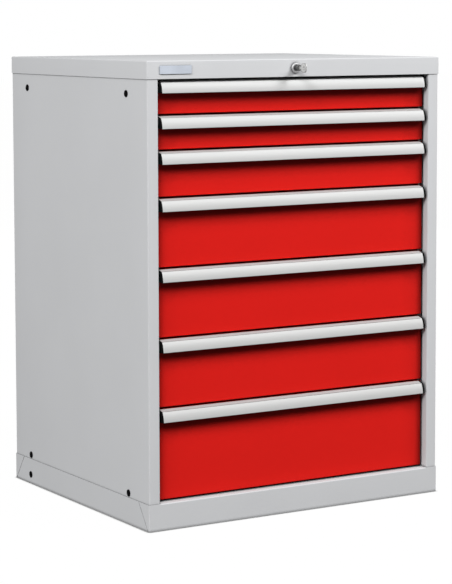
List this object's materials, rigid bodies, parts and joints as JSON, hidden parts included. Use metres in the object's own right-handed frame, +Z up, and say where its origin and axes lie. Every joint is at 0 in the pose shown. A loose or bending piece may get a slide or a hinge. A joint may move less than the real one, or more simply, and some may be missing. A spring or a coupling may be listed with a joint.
{
  "type": "workshop drawer cabinet",
  "caption": "Sheet-steel workshop cabinet with full-width drawers on telescopic slides, handle rails, a plinth and a central lock that works a bar behind the drawers.",
  "frame": {"origin": "centre of the base of the whole object's bounding box, on the floor, with the key in its lock", "axes": "+Z up, front faces -Y, +X to the right seen from the front"},
  "size_m": [0.7608, 0.6962, 1],
  "materials": {
    "grey_paint": "fine-textured powder coat",
    "red_paint": "fine-textured powder coat",
    "aluminium": "satin, pale",
    "zinc_steel": "zinc plated",
    "bright_steel": "ground",
    "black_plastic": "moulded",
    "plate_plastic": "smooth, bare",
    "chrome": "polished",
    "key_steel": "nickel plated"
  },
  "bodies": {
    "housing": {"side_wall_left": "grey_paint", "side_wall_right": "grey_paint", "rear_panel": "grey_paint", "top_cover": "grey_paint", "plinth_front": "grey_paint", "plinth_frame": "grey_paint", "floor_panel": "grey_paint", "slotted_uprights": "zinc_steel", "fixed_rails": "zinc_steel", "rear_screws": "zinc_steel", "side_hole_plugs": "black_plastic", "name_plate": "plate_plastic", "lock_housing": "chrome", "lock_guides": "black_plastic"},
    "lock": {"lock_cylinder": "chrome", "key": "key_steel", "lock_shaft": "zinc_steel"},
    "lock_bar": {"lock_bar": "zinc_steel"},
    "drawer_1": {"drawer_1_front": "red_paint", "drawer_1_tray": "grey_paint", "drawer_1_handle": "aluminium", "drawer_1_end_caps": "black_plastic", "drawer_1_runners": "zinc_steel"},
    "carriage_1": {"drawer_1_carriage": "bright_steel"},
    "drawer_2": {"drawer_2_front": "red_paint", "drawer_2_tray": "grey_paint", "drawer_2_handle": "aluminium", "drawer_2_end_caps": "black_plastic", "drawer_2_runners": "zinc_steel"},
    "carriage_2": {"drawer_2_carriage": "bright_steel"},
    "drawer_3": {"drawer_3_front": "red_paint", "drawer_3_tray": "grey_paint", "drawer_3_handle": "aluminium", "drawer_3_end_caps": "black_plastic", "drawer_3_runners": "zinc_steel"},
    "carriage_3": {"drawer_3_carriage": "bright_steel"},
    "drawer_4": {"drawer_4_front": "red_paint", "drawer_4_tray": "grey_paint", "drawer_4_handle": "aluminium", "drawer_4_end_caps": "black_plastic", "drawer_4_runners": "zinc_steel"},
    "carriage_4": {"drawer_4_carriage": "bright_steel"},
    "drawer_5": {"drawer_5_front": "red_paint", "drawer_5_tray": "grey_paint", "drawer_5_handle": "aluminium", "drawer_5_end_caps": "black_plastic", "drawer_5_runners": "zinc_steel"},
    "carriage_5": {"drawer_5_carriage": "bright_steel"},
    "drawer_6": {"drawer_6_front": "red_paint", "drawer_6_tray": "grey_paint", "drawer_6_handle": "aluminium", "drawer_6_end_caps": "black_plastic", "drawer_6_runners": "zinc_steel"},
    "carriage_6": {"drawer_6_carriage": "bright_steel"},
    "drawer_7": {"drawer_7_front": "red_paint", "drawer_7_tray": "grey_paint", "drawer_7_handle": "aluminium", "drawer_7_end_caps": "black_plastic", "drawer_7_runners": "zinc_steel"},
    "carriage_7": {"drawer_7_carriage": "bright_steel"}
  },
  "joints": [
    {"name": "drawer_1_slide", "type": "slide", "parent": "housing", "child": "drawer_1", "axis": [0, -1, 0], "range_m": [0, 0.55]},
    {"name": "carriage_1_slide", "type": "slide", "parent": "housing", "child": "carriage_1", "axis": [0, -1, 0], "range_m": [0, 0.275]},
    {"name": "drawer_2_slide", "type": "slide", "parent": "housing", "child": "drawer_2", "axis": [0, -1, 0], "range_m": [0, 0.55]},
    {"name": "carriage_2_slide", "type": "slide", "parent": "housing", "child": "carriage_2", "axis": [0, -1, 0], "range_m": [0, 0.275]},
    {"name": "drawer_3_slide", "type": "slide", "parent": "housing", "child": "drawer_3", "axis": [0, -1, 0], "range_m": [0, 0.55]},
    {"name": "carriage_3_slide", "type": "slide", "parent": "housing", "child": "carriage_3", "axis": [0, -1, 0], "range_m": [0, 0.275]},
    {"name": "drawer_4_slide", "type": "slide", "parent": "housing", "child": "drawer_4", "axis": [0, -1, 0], "range_m": [0, 0.55]},
    {"name": "carriage_4_slide", "type": "slide", "parent": "housing", "child": "carriage_4", "axis": [0, -1, 0], "range_m": [0, 0.275]},
    {"name": "drawer_5_slide", "type": "slide", "parent": "housing", "child": "drawer_5", "axis": [0, -1, 0], "range_m": [0, 0.55]},
    {"name": "carriage_5_slide", "type": "slide", "parent": "housing", "child": "carriage_5", "axis": [0, -1, 0], "range_m": [0, 0.275]},
    {"name": "drawer_6_slide", "type": "slide", "parent": "housing", "child": "drawer_6", "axis": [0, -1, 0], "range_m": [0, 0.55]},
    {"name": "carriage_6_slide", "type": "slide", "parent": "housing", "child": "carriage_6", "axis": [0, -1, 0], "range_m": [0, 0.275]},
    {"name": "drawer_7_slide", "type": "slide", "parent": "housing", "child": "drawer_7", "axis": [0, -1, 0], "range_m": [0, 0.55]},
    {"name": "carriage_7_slide", "type": "slide", "parent": "housing", "child": "carriage_7", "axis": [0, -1, 0], "range_m": [0, 0.275]},
    {"name": "lock_bar_slide", "type": "slide", "parent": "housing", "child": "lock_bar", "axis": [0, 0, 1], "range_m": [0, 0.01131]},
    {"name": "lock_turn", "type": "hinge", "parent": "housing", "child": "lock", "pos_m": [-0.0095, -0.3041, 0.98075], "axis": [0, 1, 0], "range_deg": [0, 90]}
  ],
  "couplings": [
    {"joint": "carriage_1_slide", "follows": "drawer_1_slide", "ratio": 0.5},
    {"joint": "carriage_2_slide", "follows": "drawer_2_slide", "ratio": 0.5},
    {"joint": "carriage_3_slide", "follows": "drawer_3_slide", "ratio": 0.5},
    {"joint": "carriage_4_slide", "follows": "drawer_4_slide", "ratio": 0.5},
    {"joint": "carriage_5_slide", "follows": "drawer_5_slide", "ratio": 0.5},
    {"joint": "carriage_6_slide", "follows": "drawer_6_slide", "ratio": 0.5},
    {"joint": "carriage_7_slide", "follows": "drawer_7_slide", "ratio": 0.5},
    {"joint": "lock_turn", "follows": "lock_bar_slide", "rad_per_m": 138.84}
  ]
}
